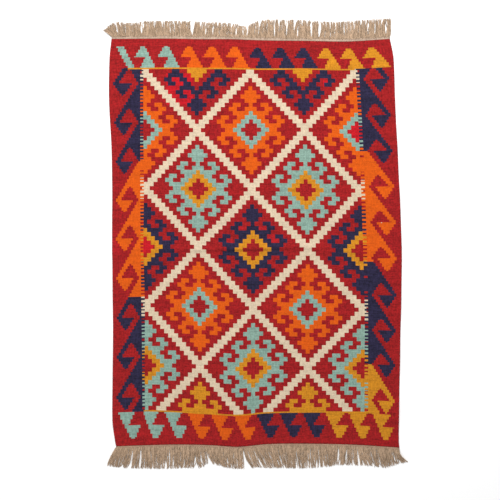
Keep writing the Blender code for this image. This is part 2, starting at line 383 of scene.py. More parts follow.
# %% Repeat the medallions over the field
def field_yarns(warp, along):
    """The yarn at places in the field: cream lines between the diamonds, and a medallion in each."""
    row = np.interp(along, [pace.along for pace in PACES], [pace.row for pace in PACES])
    row = np.clip(np.floor(row + 0.5), FIRST_ROW, LAST_ROW)
    yarns = np.full(row.shape, YARN_NUMBER["cream"])
    for medallion in MEDALLIONS:
        repeat = 2 * HALF_REPEAT
        from_middle = (warp - CENTRE_WARP - medallion.warp + HALF_REPEAT) % repeat - HALF_REPEAT
        side = np.floor(np.abs(from_middle) / STEP_WARPS + 0.5).astype(int)
        up = np.abs(row - medallion.row).astype(int)
        yarns = np.where(side + up <= STEP_REACH, RED, yarns)
        letters = {"c": medallion.centre, "r": medallion.ring, "b": medallion.body, ".": "red"}
        for chart_row, marks in enumerate(CHART):
            for chart_side, mark in enumerate(marks):
                here = (up == chart_row) & (side == chart_side)
                yarns = np.where(here, YARN_NUMBER[letters[mark]], yarns)
    return yarns


yarn_in_middle = int(field_yarns(np.array([CENTRE_WARP]), np.array([0]))[0])
print("yarn in the middle of the field:", YARNS[yarn_in_middle].name)

# %% [markdown]
# ## The hooked side borders
#
# Each side border is one limb after another that grows outwards as it goes down, and ends in a hook that
# points back up. It is a traditional wave border. A hook's shape is the same all the way down one side,
# so one row of numbers holds it. The hooks follow each other evenly, and the yarn changes after a few of
# them. Slanting edges go two warps at a time, as the weaver steps them.

# %% Measure the side hooks
YarnRun = namedtuple("YarnRun", "yarn hooks late", defaults=[0])
Hook = namedtuple("Hook", "tip yarn yarn_from")
# Levels are in millimetres, and warps are counted outwards from the field. A red wedge stands on the level
# of each tip, and a beak hangs below it.
Border = namedtuple(
    "Border",
    "first_tip pitch limb_start tip wedge_top wedge_height wedge_outer beak_inner beak_end beak_height runs",
)
LEFT_BORDER = Border(
    599, 142, 1.9, 26.0, 10.9, 50, 21.0, 7.7, 16.7, 44,
    [YarnRun("navy", 3), YarnRun("orange", 3), YarnRun("navy", 4, late=68)],
)
RIGHT_BORDER = Border(
    616, 128.4, 4.0, 28.3, 12.9, 41, 23.3, 9.8, 19.0, 45,
    [YarnRun("navy", 3), YarnRun("orange", 3), YarnRun("navy", 3, late=11), YarnRun("gold", 2)],
)
WEDGE_TOP_HALF = 1.1
BEAK_END_HALF = 1.0
STEP_PAIR = 2


def yarn_of_each(runs):
    """The runs of yarn spread out into one name for each hook."""
    return [run.yarn for run in runs for _ in range(run.hooks)]


def side_hooks(border):
    """The hooks of a border from the top down, with the level where each one's yarn starts."""
    hooks = []
    for run in border.runs:
        for i in range(run.hooks):
            tip = border.first_tip - border.pitch * len(hooks)
            late = run.late if i == 0 else 0
            hooks.append(Hook(tip, run.yarn, tip + border.pitch - late))
    return hooks


print("side hooks:", len(side_hooks(LEFT_BORDER)), "left and", len(side_hooks(RIGHT_BORDER)), "right")


# %% Draw the side borders
def paired(warp):
    """The middle of the pair of warps that a warp belongs to."""
    return (np.floor(warp / STEP_PAIR) + 0.5) * STEP_PAIR


def in_wedge(out, share, inner, outer, tip, half_tip):
    """True in a wedge from its foot, between inner and outer, to a narrow tip, where the share is 1."""
    inside = (out >= mix(inner, tip - half_tip, share)) & (out < mix(outer, tip + half_tip, share))
    return inside & (share < 1)


def border_yarns(out, along, border):
    """The yarn at places in a side border, so many warps out from the field."""
    yarns = np.full(along.shape, RED)
    out = paired(out)
    first_yarn = border.runs[0].yarn
    above = Hook(border.first_tip + border.pitch, first_yarn, LOOM_END)
    for hook in side_hooks(border):
        here = (along < above.tip) & (along >= hook.tip)
        down = above.tip - along
        up = along - hook.tip

        share = down / border.beak_height
        beak = in_wedge(out, share, border.beak_inner, border.tip, border.beak_end, BEAK_END_HALF)
        yarns = np.where(here & beak, YARN_NUMBER[above.yarn], yarns)

        limb = out < mix(border.limb_start, border.tip, down / border.pitch)
        limb_yarn = np.where(along <= hook.yarn_from, YARN_NUMBER[hook.yarn], YARN_NUMBER[above.yarn])
        yarns = np.where(here & limb, limb_yarn, yarns)

        share = up / border.wedge_height
        wedge = in_wedge(out, share, border.limb_start, border.wedge_outer, border.wedge_top, WEDGE_TOP_HALF)
        yarns = np.where(here & wedge, RED, yarns)
        above = hook
    return yarns


print("widest part of a hook:", round(LEFT_BORDER.tip - LEFT_BORDER.beak_inner), "warps")

# %% [markdown]
# Where a border meets the field, the weaver lets the two colours bite into each other in short teeth,
# four warps deep. The teeth close the long slit that a straight join would leave.

# %% Draw the teeth
TEETH_WARPS = 4
TOOTH_SHARE = 0.5
# The level of one tooth of the field's own yarn; the others follow it.
Teeth = namedtuple("Teeth", "pitch field_tooth")
LEFT_TEETH = Teeth(12.8, 229)
RIGHT_TEETH = Teeth(13.9, 229)


def in_border_tooth(along, teeth):
    """True where the border's yarn reaches into the field."""
    phase = ((along - teeth.field_tooth) / teeth.pitch + 0.5) % 1.0 - 0.5
    return np.abs(phase) > TOOTH_SHARE / 2


print("teeth along the left side:", round((FIELD_TOP - FIELD_BOTTOM) / LEFT_TEETH.pitch))

# %% [markdown]
# ## The hooked bands at the two ends
#
# Each end has a band of upright hooks that lean over to one side. The bottom band is the top one turned
# half a turn, which is how such a rug is woven when the loom is turned round for its second half. The
# hooks stand evenly along each band, so a band is its first corner, its pitch and the outline of a hook,
# which changes a little from the first hook to the last.

# %% Draw the end bands
HOOKS_TOP = 729
HOOKS_TOP_END = 655
HOOKS_BOTTOM_START = -589
HOOKS_BOTTOM_END = -677
HOOK_WAIST = 0.5
# A hook's outline in warps from its corner: its narrow end, its beak and its waist halfway, and its foot.
Outline = namedtuple("Outline", "narrow beak waist foot_inner foot_outer")
# The hooks of the bottom band are turned half a turn, so they reach the other way from their corners.
Band = namedtuple("Band", "corner_level foot_level turn first_corner pitch first_outline last_outline runs")
TOP_BAND = Band(
    HOOKS_TOP, HOOKS_TOP_END, 1, -392, 82,
    Outline(5.1, 6.7, 5.2, -1.0, 16.0),
    Outline(5.1, 6.7, 5.2, 1.0, 19.3),
    [YarnRun("teal", 2), YarnRun("orange", 3), YarnRun("navy", 3), YarnRun("gold", 3)],
)
BOTTOM_BAND = Band(
    HOOKS_BOTTOM_END, HOOKS_BOTTOM_START, -1, -412, 82.6,
    Outline(5.1, 6.0, 6.0, 0.5, 16.5),
    Outline(5.1, 6.0, 6.0, -3.0, 16.5),
    [YarnRun("teal", 3), YarnRun("orange", 3), YarnRun("navy", 3), YarnRun("gold", 3)],
)
# The leaning bar at the left end of the top band, and the thin gold lines between the bands and the field.
Stretch = namedtuple("Stretch", "left right")
BAR_TOP = Stretch(-479, -454)
BAR_FOOT = Stretch(-439, -414)
TOP_LINE = Stretch(-440, 378)
BOTTOM_LINE = Stretch(-383, 414)


def end_hooks(band):
    """The corner warp, the outline and the yarn of each hook in a band, from the left."""
    yarns = yarn_of_each(band.runs)
    hooks = []
    for i, yarn in enumerate(yarns):
        corner = warp_at(band.first_corner + band.pitch * i, band.corner_level)
        share = i / (len(yarns) - 1)
        outline = Outline(*[mix(*sizes, share) for sizes in zip(band.first_outline, band.last_outline)])
        hooks.append((corner, outline, yarn))
    return hooks


TOP_HOOKS = end_hooks(TOP_BAND)
BOTTOM_HOOKS = end_hooks(BOTTOM_BAND)
print("end hooks:", len(TOP_HOOKS), "top and", len(BOTTOM_HOOKS), "bottom")


# %% Fill the end bands
def share_of_band(along, band):
    """How far across a band a level is: 0 at the corners of its hooks and 1 at their feet."""
    return (along - band.corner_level) / (band.foot_level - band.corner_level)


def in_end_hook(from_corner, share, outline):
    """True inside a hook, from 0 at its narrow end to 1 at its foot."""
    beak = -outline.beak * share / HOOK_WAIST
    foot = mix(outline.waist, outline.foot_inner, (share - HOOK_WAIST) / (1 - HOOK_WAIST))
    inner = np.where(share < HOOK_WAIST, beak, foot)
    outer = mix(outline.narrow, outline.foot_outer, share)
    return (from_corner >= inner) & (from_corner < outer) & (share >= 0) & (share <= 1)


BAR_SIDES = [
    (warp_at(top, HOOKS_TOP), warp_at(foot, HOOKS_TOP_END)) for top, foot in zip(BAR_TOP, BAR_FOOT)
]


def end_band_yarns(warp, along):
    """The yarn at places in the two end bands."""
    yarns = np.full(along.shape, RED)
    warp = paired(warp)
    for band, hooks in ((TOP_BAND, TOP_HOOKS), (BOTTOM_BAND, BOTTOM_HOOKS)):
        share = share_of_band(along, band)
        for corner, outline, yarn in hooks:
            hook = in_end_hook(band.turn * (warp - corner), share, outline)
            yarns = np.where(hook, YARN_NUMBER[yarn], yarns)
    share = share_of_band(along, TOP_BAND)
    bar_left, bar_right = [mix(top, foot, share) for top, foot in BAR_SIDES]
    bar = (warp >= bar_left) & (warp < bar_right) & (share >= 0) & (share <= 1)
    return np.where(bar, YARN_NUMBER["teal"], yarns)


print("the leaning bar runs between these warps:", [round(top) for top, foot in BAR_SIDES])

# %% [markdown]
# One function now joins the parts of the pattern. It also changes to a brighter red in the patches where
# the weaver took up yarn from another dye bath. A patch is a box in millimetres, and only the red in it
# changes.

# %% Join the pattern
HALF_WARP = 0.5
Patch = namedtuple("Patch", "left right low high yarn")
RED_PATCHES = [
    Patch(-303, -205, 520, 632, "bright_red"),
    Patch(263, 281, 590, 612, "bright_red"),
    Patch(353, 403, 389, 457, "bright_red"),
    Patch(-497, -468, -25, 50, "middle_red"),
    Patch(-385, -349, -25, 47, "bright_red"),
    Patch(-86, -61, 22, 36, "middle_red"),
    Patch(-43, -18, 68, 83, "middle_red"),
    Patch(18, 58, 68, 83, "middle_red"),
    Patch(65, 108, 22, 54, "middle_red"),
]
# A tuft of undyed yarn that shows through at the right.
FLECK = Patch(471, 476, 99, 103, "cream")


def in_patch(x, along, patch):
    return (x > patch.left) & (x < patch.right) & (along > patch.low) & (along < patch.high)


def rug_yarns(warp, along):
    """The yarn at every place of the rug."""
    warp, along = np.broadcast_arrays(warp, along)
    x = cloth_place(warp, along)[0]
    yarns = field_yarns(warp, along)
    at_edge = np.full(along.shape, HALF_WARP)
    for border, teeth, out in (
        (LEFT_BORDER, LEFT_TEETH, LEFT_FIELD_WARP - warp),
        (RIGHT_BORDER, RIGHT_TEETH, warp - RIGHT_FIELD_WARP),
    ):
        tooth = in_border_tooth(along, teeth) & (out > -TEETH_WARPS)
        yarns = np.where(tooth, border_yarns(at_edge, along, border), yarns)
        yarns = np.where(out > 0, border_yarns(out, along, border), yarns)
    top_line = (along > FIELD_TOP) & (x > TOP_LINE.left) & (x < TOP_LINE.right)
    low_line = (along < FIELD_BOTTOM) & (x > BOTTOM_LINE.left) & (x < BOTTOM_LINE.right)
    yarns = np.where(top_line | low_line, YARN_NUMBER["gold"], yarns)
    in_band = (along > HOOKS_TOP_END) | (along < HOOKS_BOTTOM_START)
    yarns = np.where(in_band, end_band_yarns(warp, along), yarns)
    for patch in RED_PATCHES:
        yarns = np.where(in_patch(x, along, patch) & (yarns == RED), YARN_NUMBER[patch.yarn], yarns)
    return np.where(in_patch(x, along, FLECK), YARN_NUMBER[FLECK.yarn], yarns)


counts = np.bincount(rug_yarns(sample_warps, sample_levels).ravel(), minlength=len(YARNS))
print("share of each yarn:", {y.name: round(c / counts.sum(), 3) for y, c in zip(YARNS, counts)})

# %% [markdown]
# ## Wool
#
# Dyed wool has no gloss. What it has is streaks: each weft row is a new length of yarn with its own
# depth of dye, some bands of rows are paler than others, and each bead of yarn catches the light on its
# own. A photograph of cloth could be laid on as an image, but it would repeat and wouldn't follow the
# drift of the warps. So the material gets all this from the loom's own numbers, which every face carries
# as a UV map: noises that are long across the warps, a noise long along the warps that paints the shade of
# the ribs into the colour, a slow band noise, and a bead pattern that is staggered from warp to warp.

# %% Start a material and join nodes
def new_material(name):
    material = bpy.data.materials.new(name)
    material.use_nodes = True
    tree = material.node_tree
    return material, tree, tree.nodes["Principled BSDF"]


def feed(tree, node, values):
    """Gives the first inputs of a node their values, each a socket or a number. Returns its output."""
    for socket, value in zip(node.inputs, values):
        if isinstance(value, bpy.types.NodeSocket):
            tree.links.new(value, socket)
        else:
            socket.default_value = value
    return node.outputs[0]


def add_math(tree, operation, first, second=0.0, clamp=False):
    node = tree.nodes.new("ShaderNodeMath")
    node.operation = operation
    node.use_clamp = clamp
    return feed(tree, node, (first, second))


def add_place(tree, x, y, z=0.0):
    """A vector socket from three sockets or numbers."""
    return feed(tree, tree.nodes.new("ShaderNodeCombineXYZ"), (x, y, z))


def add_noise(tree, place, scale, detail, roughness=0.5):
    """A noise texture on a place, which is a vector socket. Returns its value socket."""
    node = tree.nodes.new("ShaderNodeTexNoise")
    node.inputs["Scale"].default_value = scale
    node.inputs["Detail"].default_value = detail
    node.inputs["Roughness"].default_value = roughness
    tree.links.new(place, node.inputs["Vector"])
    return node.outputs["Fac"]


def loom_numbers(tree):
    """Sockets for the warp number and the place along the loom, in millimetres."""
    uv = tree.nodes.new("ShaderNodeUVMap")
    uv.uv_map = "loom"
    split = tree.nodes.new("ShaderNodeSeparateXYZ")
    tree.links.new(uv.outputs["UV"], split.inputs[0])
    return split.outputs["X"], split.outputs["Y"]


print("node helpers:", [helper.__name__ for helper in (add_math, add_place, add_noise, loom_numbers)])

# %% Set the colour, relief and finish of a shader
BUMP_STRENGTH = 0.5


def set_tones(tree, shader, noises, dark, light):
    """Colours a shader between two tones. Each noise, a socket, moves it by its own weight from halfway."""
    share = 0.5 - sum(weight for _, weight in noises) / 2
    for noise, weight in noises:
        share = add_math(tree, "ADD", add_math(tree, "MULTIPLY", noise, weight), share)
    node = tree.nodes.new("ShaderNodeMix")
    node.data_type = "RGBA"
    tree.links.new(add_math(tree, "ADD", share, 0.0, clamp=True), node.inputs["Factor"])
    node.inputs["A"].default_value = (*dark, 1.0)
    node.inputs["B"].default_value = (*light, 1.0)
    tree.links.new(node.outputs["Result"], shader.inputs["Base Color"])


def set_relief(tree, shader, height, depth):
    """Bumps a shader by a height, a socket, as deep as so many millimetres."""
    node = tree.nodes.new("ShaderNodeBump")
    node.inputs["Strength"].default_value = BUMP_STRENGTH
    node.inputs["Distance"].default_value = depth * MM
    tree.links.new(height, node.inputs["Height"])
    tree.links.new(node.outputs["Normal"], shader.inputs["Normal"])


def set_finish(shader, finish):
    """Sets plain inputs of a shader by their names."""
    for name, value in finish.items():
        shader.inputs[name].default_value = value


print("strength of every bump:", BUMP_STRENGTH)

# %% Make the dyed wool
WEFT_PITCH = 2.2
# How wide and how tall each kind of mottling is, in warps and millimetres, and how strongly it shows.
Mottle = namedtuple("Mottle", "name warps height detail share")
MOTTLES = [
    Mottle("weft streaks", 12.0, 3.4, 2.0, 1.3),
    # The narrow noise that runs along the warps is painted shade: darker and lighter streaks from rib to
    # rib.
    Mottle("painted rib shade", 1.5, 24.0, 1.0, 1.0),
    Mottle("heather", 1.8, 5.0, 2.0, 1.7),
    Mottle("dye bands", 90.0, 16.0, 2.0, 0.7),
]
# Steps that give each kind of mottling, and each yarn, a noise of its own.
MOTTLE_STEP = 3.1
YARN_STEP = 7.3
FIBRE_SCALE = 5.0
FIBRE_DETAIL = 3.0
BEAD_SHARE = 0.35
WOOL_RELIEF = 0.4
WOOL_FINISH = {"Roughness": 0.92, "Specular IOR Level": 0.12, "Sheen Weight": 0.06, "Sheen Roughness": 0.6}


def make_wool(yarn, seed):
    """Weft-faced wool in one dye, with streaks, bands, painted rib shade and beads that follow the loom."""
    material, tree, shader = new_material("wool_" + yarn.name)
    warp, along = loom_numbers(tree)
    noises = []
    for i, mottle in enumerate(MOTTLES):
        across = add_math(tree, "DIVIDE", warp, mottle.warps)
        up = add_math(tree, "DIVIDE", along, mottle.height)
        place = add_place(tree, across, up, seed + MOTTLE_STEP * i)
        noises.append((add_noise(tree, place, 1.0, mottle.detail), mottle.share))
    colour = (yarn.red, yarn.green, yarn.blue)
    dark = [channel * (1 - yarn.uneven) for channel in colour]
    light = [channel * (1 + yarn.uneven) for channel in colour]
    set_tones(tree, shader, noises, dark, light)

    # Each bead is a small hump along its own warp, staggered from warp to warp, with fibres on it.
    odd_warp = add_math(tree, "MODULO", add_math(tree, "FLOOR", warp), 2.0)
    weft = add_math(tree, "DIVIDE", along, WEFT_PITCH)
    staggered = add_math(tree, "ADD", weft, add_math(tree, "DIVIDE", odd_warp, 2.0))
    wave = add_math(tree, "SINE", add_math(tree, "MULTIPLY", staggered, 2 * math.pi))
    fibres = add_noise(tree, add_place(tree, warp, weft, seed), FIBRE_SCALE, FIBRE_DETAIL)
    height = add_math(tree, "ADD", add_math(tree, "MULTIPLY", wave, BEAD_SHARE), fibres)
    set_relief(tree, shader, height, WOOL_RELIEF)
    set_finish(shader, WOOL_FINISH)
    return material


wool_materials = [make_wool(yarn, YARN_STEP * i) for i, yarn in enumerate(YARNS)]
print("wool materials:", [material.name for material in wool_materials])

# %% [markdown]
# ## The woven face
#
# From close by a kilim is corrugated: the weft bulges over each warp and dips between two warps. The
# face is a grid with one crest on each warp and one valley between warps. Where two colours meet along
# a warp the valley is a slit, which runs much deeper. The grid is made of arrays, because a piece has up
# to eighty thousand faces, which is slow work one by one.
#
# Blender could also bump this in the material, but then the rug would be flat from the side and its
# exported mesh would be a plain sheet.

# %% Shape the ribs
CREST = 0.15
VALLEY = -0.4
SLIT = -1.3
EDGE_DROP = 1.0
Rib = namedtuple("Rib", "warps_in height")
# The selvedge is a cord of several warps wrapped together, so it stands above the cloth.
SELVEDGE = [Rib(0.0, EDGE_DROP), Rib(0.5, 2.9), Rib(1.0, 3.5), Rib(1.5, 3.55), Rib(2.0, 3.2), Rib(2.5, 2.6)]


def half_warps(first, last):
    """Whole and half warps: a valley and a crest for each warp."""
    return np.arange(first, last + HALF_WARP / 2, HALF_WARP)


def on_crest(warp):
    return np.abs(warp % 1.0 - HALF_WARP) < HALF_WARP / 2


def rib_heights(warp):
    """The height of the cloth's face over its underside at whole and half warps."""
    heights = CLOTH_THICKNESS + np.where(on_crest(warp), CREST, VALLEY)
    from_edge = np.minimum(warp, WARPS - warp)
    for rib in SELVEDGE:
        heights = np.where(np.isclose(from_edge, rib.warps_in), rib.height, heights)
    return heights


print("selvedge cord height:", max(rib.height for rib in SELVEDGE), "mm")


# %% Turn grids into pieces
def on_floor(x, y, z):
    """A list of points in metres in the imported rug's frame, from grids in millimetres on the loom."""
    return np.stack([x * MM + LOOM_X, y * MM + LOOM_Y, z * MM], axis=-1).reshape(-1, 3)


def grid_faces(index):
    """The faces between the points of a grid, which look up."""
    corners = [index[:-1, :-1], index[:-1, 1:], index[1:, 1:], index[1:, :-1]]
    return np.stack(corners, axis=-1).reshape(-1, 4)


def yarns_between(columns, levels):
    """The yarn of each face of a grid."""
    middle_warps = np.floor((columns[:-1] + columns[1:]) / 2) + HALF_WARP
    return rug_yarns(*np.meshgrid(middle_warps, (levels[:-1] + levels[1:]) / 2))


def mesh_piece(name, points, faces, yarns, warp, along, materials):
    """An object from points and faces, with the loom's numbers and a flat map of it as UVs."""
    mesh = bpy.data.meshes.new(name)
    mesh.from_pydata(points.tolist(), [], faces.tolist())
    for material in materials:
        mesh.materials.append(material)
    mesh.polygons.foreach_set("material_index", yarns.astype(np.int32))
    corner_points = np.empty(len(mesh.loops), np.int32)
    mesh.loops.foreach_get("vertex_index", corner_points)
    span = points[:, :2].max(axis=0) - points[:, :2].min(axis=0)
    flat = (points[:, :2] - points[:, :2].min(axis=0)) / span.max()
    for map_name, values in (("OFBake", flat), ("loom", np.stack([warp, along], axis=-1))):
        layer = mesh.uv_layers.new(name=map_name)
        layer.data.foreach_set("uv", values[corner_points].astype(np.float32).ravel())
    mesh.uv_layers["OFBake"].active_render = True
    mesh.shade_smooth()
    mesh.update()
    piece = bpy.data.objects.new(name, mesh)
    bpy.context.scene.collection.objects.link(piece)
    return piece


def grid_piece(name, x, y, z, warp, along, yarns, materials):
    faces = grid_faces(np.arange(x.size).reshape(x.shape))
    return mesh_piece(name, on_floor(x, y, z), faces, yarns.ravel(), warp.ravel(), along.ravel(), materials)


print("a corner of the loom on the floor:", on_floor(sample_x, sample_y, 0 * sample_x)[0].round(4), "m")

# %% [markdown]
# The face is woven in five pieces, so that none gets too heavy: the field, which only changes colour at
# half steps and can do with few rows, and the borders and end bands, whose slanting edges need a row for
# about every pick of weft.


# %% Weave one piece
FINE_PITCH = 2.5


def weave_face(name, first_warp, last_warp, levels):
    """One piece of the woven face, between two warps, with weft rows at the levels."""
    columns = half_warps(first_warp, last_warp)
    warp, along = np.meshgrid(columns, levels)
    x, y = cloth_place(warp, along)
    yarns = yarns_between(columns, levels)

    # A slit opens where the yarn changes between two warps, and closes at both of its ends.
    changes = np.zeros((len(levels) + 1, len(columns)), bool)
    changes[1:-1, 1:-1] = yarns[:, 1:] != yarns[:, :-1]
    slit = changes[1:] & changes[:-1]
    height = rib_heights(warp)
    height = np.where(slit, CLOTH_THICKNESS + SLIT, height)
    at_end = np.isclose(along, LOOM_END) | np.isclose(along, LOOM_START)
    height = np.where(at_end, EDGE_DROP, height)
    return grid_piece(name, x, y, lift(x, y) + height, warp, along, yarns, wool_materials)


def levels_between(low, high, pitch):
    return np.linspace(low, high, round((high - low) / pitch) + 1)


print("rows of a side border:", len(levels_between(FIELD_BOTTOM, FIELD_TOP, FINE_PITCH)))

# %% Weave the five pieces of the face
# The field has an edge at each half step, and more of them on the crease.
CREASE_ROWS = 2
PARTS_OF_ROW = 6
HALF_ROW = PARTS_OF_ROW // 2
parts = np.arange(PARTS_OF_ROW * FIRST_ROW - HALF_ROW, PARTS_OF_ROW * LAST_ROW + HALF_ROW + 1)
kept = (parts % HALF_ROW == 0) | (np.abs(parts) <= PARTS_OF_ROW * CREASE_ROWS)
row_edges = parts[kept] / PARTS_OF_ROW
field_levels = np.interp(row_edges, [pace.row for pace in PACES], [pace.along for pace in PACES])
TURN_IN = 1.2
top_levels = np.append(levels_between(FIELD_TOP, LOOM_END - TURN_IN, FINE_PITCH), LOOM_END)
low_levels = np.insert(levels_between(LOOM_START + TURN_IN, FIELD_BOTTOM, FINE_PITCH), 0, LOOM_START)
side_levels = levels_between(FIELD_BOTTOM, FIELD_TOP, FINE_PITCH)
inner_left = LEFT_FIELD_WARP + TEETH_WARPS
inner_right = RIGHT_FIELD_WARP - TEETH_WARPS

face_pieces = [
    weave_face("face_field", inner_left, inner_right, field_levels),
    weave_face("face_left_border", 0, inner_left, side_levels),
    weave_face("face_right_border", inner_right, WARPS, side_levels),
    weave_face("face_top_band", 0, WARPS, top_levels),
    weave_face("face_bottom_band", 0, WARPS, low_levels),
]
for piece in face_pieces:
    print(piece.name, "has", 2 * len(piece.data.polygons), "triangles")

# %% [markdown]
# ## The body of the cloth
#
# A kilim has the same pattern on both sides. Under the face lies a closed sheet, which carries the
# pattern on the rug's underside and closes its edges. A Solidify modifier on the face could make it, but
# it would copy every rib and slit where nobody looks, so a coarser grid is made instead.


# %% Make the body of the cloth
BODY_TOP = 1.3
BODY_WARPS = 3
BODY_PITCH = 8.0
BODY_CREASE_PITCH = 4.0
# The wide rows keep so far off the narrow ones, in millimetres.
BODY_EDGE_CLEAR = 1.0
# The corners of a face in the order that makes it look down.
LOOKING_DOWN = [0, 3, 2, 1]


def make_body():
    """A closed sheet: a lower and an upper grid, with walls round the rim between them."""
    columns = np.linspace(0, WARPS, WARPS // BODY_WARPS + 1)
    levels = levels_between(LOOM_START, LOOM_END, BODY_PITCH)
    on_crease = levels_between(-CREASE_HALF_WIDTH, CREASE_HALF_WIDTH, BODY_CREASE_PITCH)
    levels = np.union1d(levels[np.abs(levels) > CREASE_HALF_WIDTH + BODY_EDGE_CLEAR], on_crease)
    warp, along = np.meshgrid(columns, levels)
    x, y = cloth_place(warp, along)
    under = lift(x, y)
    points = np.concatenate([on_floor(x, y, under), on_floor(x, y, under + BODY_TOP)])
    index = np.arange(x.size).reshape(x.shape)
    rim = np.concatenate([index[0, :-1], index[:-1, -1], index[-1, :0:-1], index[:0:-1, 0]])
    after = np.roll(rim, -1)
    walls = np.stack([rim, after, after + x.size, rim + x.size], axis=-1)
    faces = np.concatenate([grid_faces(index)[:, LOOKING_DOWN], grid_faces(index + x.size), walls])
    yarns = yarns_between(columns, levels).ravel()
    yarns = np.concatenate([yarns, yarns, np.full(len(walls), RED)])
    both = [np.tile(numbers.ravel(), 2) for numbers in (warp, along)]
    return mesh_piece("cloth_body", points, faces, yarns, *both, wool_materials)


cloth_body = make_body()
print("cloth_body has", 2 * len(cloth_body.data.polygons), "triangles")

# %% [markdown]
# ## The warp ends
#
# At both ends of the rug the undyed warps come out of the weaving. A few rows woven of the same undyed
# yarn hold the wool in, and beyond them the warps hang loose and gather into locks. Every warp is a
# doubled yarn, so two ends come out of it, and each end is built as its two plies, laid loosely round
# each other. They lie over one another in a soft mass, with a gap where two locks lean apart.
#
# How the locks fall is a short table for each end: how far the tips lean to the right and how far out
# they reach, at places across the rug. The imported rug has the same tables, but for its lower left corner.

# %% How the warp ends fall
Fall = namedtuple("Fall", "across lean reach")
TOP_FALL = [
    Fall(0.0, -30, 34),
    Fall(0.025, -16, 62),
    Fall(0.06, -6, 60),
    Fall(0.09, -12, 61),
    Fall(0.12, -2, 66),
    Fall(0.3, -1, 66),
    Fall(0.36, 6, 63),
    Fall(0.43, 4, 60),
    Fall(0.475, 4, 51),
    Fall(0.53, 2, 75),
    Fall(0.68, -1, 77),
    Fall(0.72, 5, 75),
    Fall(0.8, -1, 73),
    Fall(0.88, -3, 77),
    Fall(0.92, 4, 78),
    Fall(1.0, 0, 76),
]
BOTTOM_FALL = [
    Fall(0.0, -31, 72),
    Fall(0.02, -17, 77),
    Fall(0.1, 0, 85),
    Fall(0.2, 0, 88),
    Fall(0.27, -2, 85),
    Fall(0.3, 6, 85),
    Fall(0.325, 22, 70),
    Fall(0.36, 22, 77),
    Fall(0.455, 5, 81),
    Fall(0.475, 27, 78),
    Fall(0.53, 29, 86),
    Fall(0.63, 5, 90),
    Fall(0.68, 0, 90),
    Fall(0.74, 6, 83),
    Fall(0.8, 0, 76),
    Fall(0.9, 18, 76),
    Fall(0.94, 8, 77),
    Fall(1.0, 30, 52),
]
print("longest warp end at the top:", max(fall.reach for fall in TOP_FALL), "mm")

# %% Share the warps out among locks
# The locks take these numbers of warps in turn right across the rug.
LOCK_WARPS = (7, 12, 9, 14, 6, 11, 8)
Lock = namedtuple("Lock", "first warps outermost")


def locks_across():
    """The locks of warps from the left selvedge to the right one."""
    locks = []
    first = 0
    while first < WARPS:
        warps = min(LOCK_WARPS[len(locks) % len(LOCK_WARPS)], WARPS - first)
        locks.append(Lock(first, warps, first == 0 or first + warps == WARPS))
        first += warps
    return locks


print("locks in each fringe:", len(locks_across()))

# %% The undyed yarn
# The last three say how strongly single plies, slow patches and fibres differ in tone.
Undyed = namedtuple("Undyed", "name dark light of_ply of_patch of_fibre")
LOOSE_YARN = Undyed("undyed_warp_yarn", (0.2, 0.135, 0.085), (0.61, 0.43, 0.29), 0.7, 0.9, 0.5)
# The web at the top is paler and greyer, and the one at the bottom darker and warmer.
TOP_WEB_YARN = Undyed("undyed_top_web", (0.26, 0.187, 0.137), (0.585, 0.433, 0.33), 0.3, 0.9, 0.6)
BOTTOM_WEB_YARN = Undyed("undyed_bottom_web", (0.225, 0.143, 0.094), (0.507, 0.33, 0.228), 0.3, 0.9, 0.6)
PATCH_PER_PLY = 0.04
PATCH_PER_MM = 0.02
PATCH_SCALE = 2.0
PATCH_DETAIL = 3.0
FIBRES_PER_PLY = 2.0
UNDYED_FIBRE_SCALE = 1.5
UNDYED_FIBRE_DETAIL = 2.0
UNDYED_RELIEF = 0.3
UNDYED_FINISH = {"Roughness": 0.9, "Specular IOR Level": 0.2, "Sheen Weight": 0.1}


def make_undyed(yarn):
    """Undyed warp yarn. Each ply has its own tone, and it greys and darkens in soft patches."""
    material, tree, shader = new_material(yarn.name)
    ply, along = loom_numbers(tree)
    white = tree.nodes.new("ShaderNodeTexWhiteNoise")
    white.noise_dimensions = "1D"
    tree.links.new(add_math(tree, "FLOOR", ply), white.inputs["W"])
    across = add_math(tree, "MULTIPLY", ply, PATCH_PER_PLY)
    slow = add_place(tree, across, add_math(tree, "MULTIPLY", along, PATCH_PER_MM))
    patches = add_noise(tree, slow, PATCH_SCALE, PATCH_DETAIL)
    fine = add_place(tree, add_math(tree, "MULTIPLY", ply, FIBRES_PER_PLY), along)
    fibres = add_noise(tree, fine, UNDYED_FIBRE_SCALE, UNDYED_FIBRE_DETAIL)
    noises = [(white.outputs["Value"], yarn.of_ply), (patches, yarn.of_patch), (fibres, yarn.of_fibre)]
    set_tones(tree, shader, noises, yarn.dark, yarn.light)
    set_relief(tree, shader, fibres, UNDYED_RELIEF)
    set_finish(shader, UNDYED_FINISH)
    return material


undyed_yarns = (LOOSE_YARN, TOP_WEB_YARN, BOTTOM_WEB_YARN)
loose_material, top_web_material, bottom_web_material = [make_undyed(yarn) for yarn in undyed_yarns]
print("undyed yarns:", [yarn.name for yarn in undyed_yarns])

# %% [markdown]
# Each ply is a thin tube of five sides. Its path starts in the web, leans as its lock leans, draws
# together with the few others of its bunch, and ends near the floor at its own length. A bunch leans and
# bows a little on its own, over its neighbour or away from it. Bevelled curves or hair could make the
# plies, but over a thousand curves are slow to turn into a mesh. So all tubes of one end are made at once
# from one array of centre points. Random draws come from one seeded source for each end, so the fringe is
# the same every time.

# %% Make many tubes at once
PLY_SIDES = 5
PLY_SECTIONS = 14
share_along = np.linspace(0.0, 1.0, PLY_SECTIONS)


